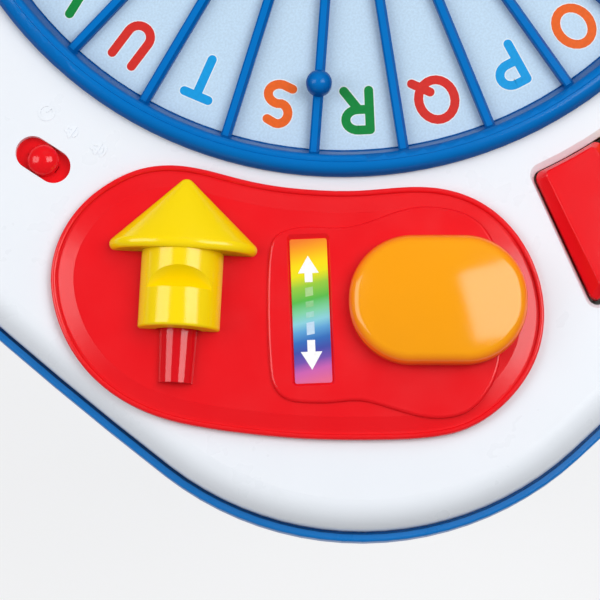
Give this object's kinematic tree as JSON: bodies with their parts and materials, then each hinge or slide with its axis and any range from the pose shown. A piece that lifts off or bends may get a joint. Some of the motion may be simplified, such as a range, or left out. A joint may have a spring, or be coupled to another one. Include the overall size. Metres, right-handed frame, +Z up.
{
  "type": "musical activity table",
  "caption": "Low square play table with rounded corners, a turning alphabet wheel, sliders, hinged piano keys, drum, roller, meshed gears and push-in legs.",
  "frame": {"origin": "centre of the footprint at floor level", "axes": "+Z up; the keyboard flank faces -Y; the pictured corner with the slider panel points to -X-Y"},
  "size_m": [0.413, 0.413, 0.3686],
  "materials": {
    "white_shell": "gloss",
    "blue_shell": "gloss",
    "wheel_blue": "gloss",
    "label_print": "satin",
    "yellow": "gloss",
    "orange": "gloss",
    "red": "gloss",
    "green": "gloss",
    "sky_blue": "gloss",
    "clear_red": "gloss",
    "clear_orange": "gloss",
    "rainbow_print": "satin",
    "purple": "gloss",
    "inner_white": "satin",
    "inner_black": "satin",
    "silicone": "matte",
    "foot_rubber": "matte",
    "board_green": "satin",
    "lamp": "gloss",
    "steel": "satin",
    "cell_wrap": "gloss"
  },
  "bodies": {
    "base": {"top_shell": "white_shell", "bottom_shell": "blue_shell", "shell_screws": "steel", "hub_bezel": "yellow", "hub_membrane": "silicone", "main_circuit_board": "board_green", "hub_lamps": "lamp", "slider_panel": "red", "rainbow_label": "rainbow_print", "slider_rod": "clear_red", "switch_plate": "red", "switch_body": "inner_black", "key_frame": "inner_white", "key_membrane": "silicone", "drum_cup": "inner_white", "drum_bezel": "yellow", "drum_ring": "silicone", "roller_well": "blue_shell", "roller_axle": "steel", "gear_posts": "red", "song_board": "board_green", "song_membranes": "silicone", "speaker": "inner_black", "battery_box": "inner_black", "batteries": "cell_wrap", "battery_contacts": "steel", "battery_door": "blue_shell", "battery_door_screw": "steel", "leg_front_left": "white_shell", "leg_front_right": "white_shell", "leg_back_right": "white_shell", "leg_back_left": "white_shell", "leg_feet": "foot_rubber"},
    "wheel": {"alphabet_wheel": "wheel_blue", "wheel_label": "label_print", "wheel_pegs": "wheel_blue"},
    "hub": {"hub_button": "clear_orange"},
    "arrow": {"arrow_slider": "yellow", "arrow_carriage": "inner_white"},
    "pad": {"pad_slider": "orange", "pad_carriage": "inner_white"},
    "switch": {"switch_knob": "red"},
    "drum": {"drum_pad": "green"},
    "roller": {"roller_drum": "orange"},
    "gear_big": {"gear_large": "green"},
    "gear_little": {"gear_small": "orange"},
    "piano_key_1": {"piano_key_1": "red"},
    "piano_key_2": {"piano_key_2": "orange"},
    "piano_key_3": {"piano_key_3": "yellow"},
    "piano_key_4": {"piano_key_4": "green"},
    "piano_key_5": {"piano_key_5": "sky_blue"},
    "song_button_1": {"song_button_1": "purple"},
    "song_button_2": {"song_button_2": "green"},
    "song_button_3": {"song_button_3": "orange"}
  },
  "joints": [
    {"name": "wheel_spin", "type": "hinge", "parent": "base", "child": "wheel", "pos_m": [0, 0, 0.35], "axis": [0, 0, 1], "continuous": true},
    {"name": "hub_press", "type": "slide", "parent": "base", "child": "hub", "axis": [0, 0, -1], "range_m": [0, 0.0025], "stiffness_N_per_m": 800, "springref_m": -0.002},
    {"name": "arrow_slide", "type": "slide", "parent": "base", "child": "arrow", "axis": [-0.7683, -0.6401, 0], "range_m": [0, 0.0125]},
    {"name": "pad_slide", "type": "slide", "parent": "base", "child": "pad", "axis": [-0.7349, -0.6782, 0], "range_m": [-0.012, 0.012]},
    {"name": "switch_slide", "type": "slide", "parent": "base", "child": "switch", "axis": [0.165, -0.9863, 0], "range_m": [-0.004, 0.004]},
    {"name": "piano_key_1_press", "type": "hinge", "parent": "base", "child": "piano_key_1", "pos_m": [-0.04806, -0.14315, 0.341], "axis": [0.948, -0.3183, 0], "range_deg": [0, 4.5], "stiffness_Nm_per_rad": 0.6, "springref_deg": -2.86},
    {"name": "piano_key_2_press", "type": "hinge", "parent": "base", "child": "piano_key_2", "pos_m": [-0.02435, -0.14902, 0.341], "axis": [0.9869, -0.1613, 0], "range_deg": [0, 4.5], "stiffness_Nm_per_rad": 0.6, "springref_deg": -2.86},
    {"name": "piano_key_3_press", "type": "hinge", "parent": "base", "child": "piano_key_3", "pos_m": [0, -0.151, 0.341], "axis": [1, 0, 0], "range_deg": [0, 4.5], "stiffness_Nm_per_rad": 0.6, "springref_deg": -2.86},
    {"name": "piano_key_4_press", "type": "hinge", "parent": "base", "child": "piano_key_4", "pos_m": [0.02435, -0.14902, 0.341], "axis": [0.9869, 0.1613, 0], "range_deg": [0, 4.5], "stiffness_Nm_per_rad": 0.6, "springref_deg": -2.86},
    {"name": "piano_key_5_press", "type": "hinge", "parent": "base", "child": "piano_key_5", "pos_m": [0.04806, -0.14315, 0.341], "axis": [0.948, 0.3183, 0], "range_deg": [0, 4.5], "stiffness_Nm_per_rad": 0.6, "springref_deg": -2.86},
    {"name": "drum_press", "type": "slide", "parent": "base", "child": "drum", "axis": [0, 0, -1], "range_m": [0, 0.0022], "stiffness_N_per_m": 1200, "springref_m": -0.002},
    {"name": "roller_spin", "type": "hinge", "parent": "base", "child": "roller", "pos_m": [0.12869, 0.12869, 0.343], "axis": [0.7071, -0.7071, 0], "continuous": true},
    {"name": "gear_large_spin", "type": "hinge", "parent": "base", "child": "gear_big", "pos_m": [-0.11738, 0.14566, 0.35], "axis": [0, 0, 1], "continuous": true},
    {"name": "gear_small_spin", "type": "hinge", "parent": "base", "child": "gear_little", "pos_m": [-0.14894, 0.09428, 0.35], "axis": [0, 0, 1], "continuous": true},
    {"name": "song_button_1_press", "type": "slide", "parent": "base", "child": "song_button_1", "axis": [0, 0, -1], "range_m": [0, 0.0015], "stiffness_N_per_m": 600, "springref_m": -0.002},
    {"name": "song_button_2_press", "type": "slide", "parent": "base", "child": "song_button_2", "axis": [0, 0, -1], "range_m": [0, 0.0015], "stiffness_N_per_m": 600, "springref_m": -0.002},
    {"name": "song_button_3_press", "type": "slide", "parent": "base", "child": "song_button_3", "axis": [0, 0, -1], "range_m": [0, 0.0015], "stiffness_N_per_m": 600, "springref_m": -0.002}
  ],
  "couplings": [
    {"joint": "gear_small_spin", "follows": "gear_large_spin", "ratio": -1.5}
  ]
}
